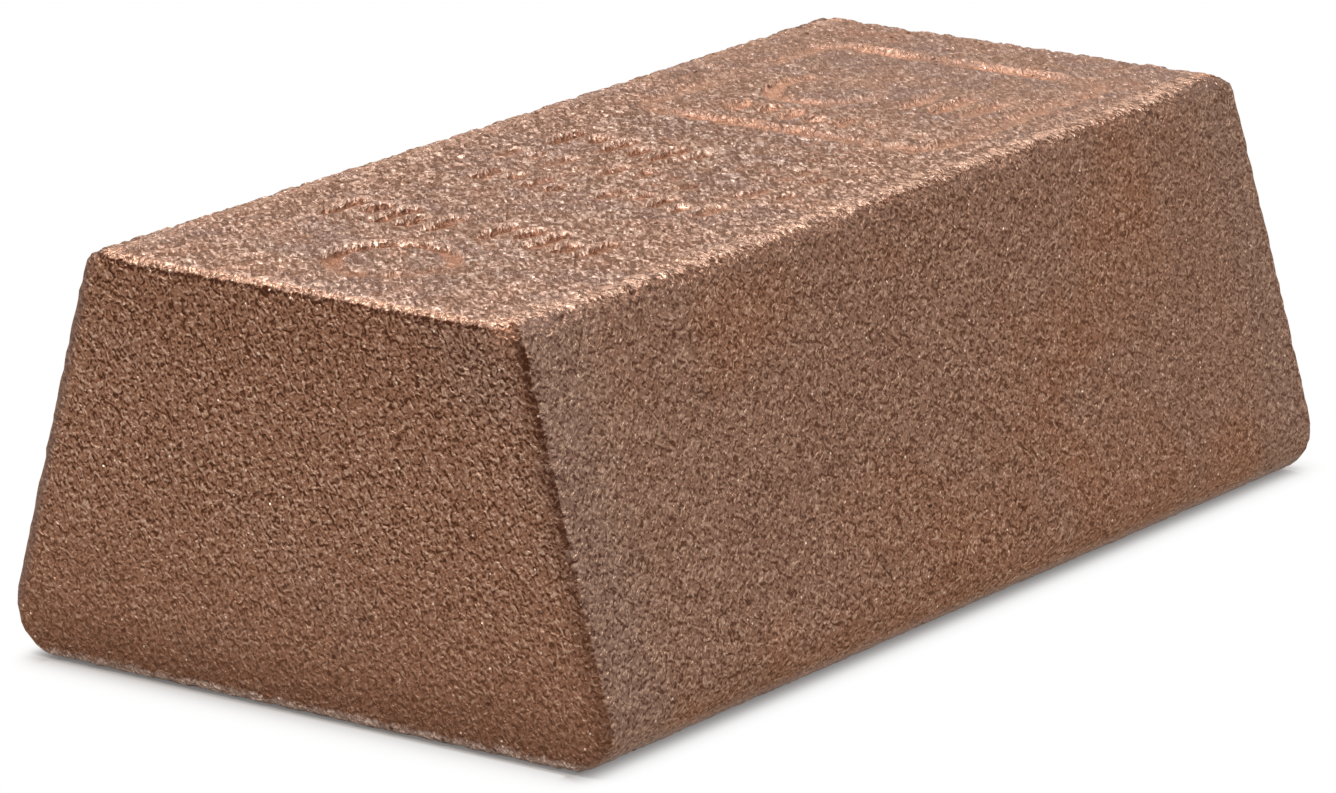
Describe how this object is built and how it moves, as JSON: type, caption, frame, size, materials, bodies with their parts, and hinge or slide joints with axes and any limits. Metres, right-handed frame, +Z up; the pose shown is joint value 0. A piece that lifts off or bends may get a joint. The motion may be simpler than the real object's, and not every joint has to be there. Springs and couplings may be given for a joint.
{
  "type": "copper ingot",
  "caption": "Solid loaf-shaped bar of cast copper with leaning flanks, rounded heels and a narrow marked top; melting stock that lies flat and stacks.",
  "frame": {"origin": "centre of the base, on the surface that the bar lies on", "axes": "+X along the bar, +Y across it, +Z up from the wide base to the narrow top"},
  "size_m": [0.0866, 0.0506, 0.0293],
  "materials": {
    "cast_copper": null
  },
  "bodies": {
    "root": {"ingot": "cast_copper"}
  },
  "joints": []
}
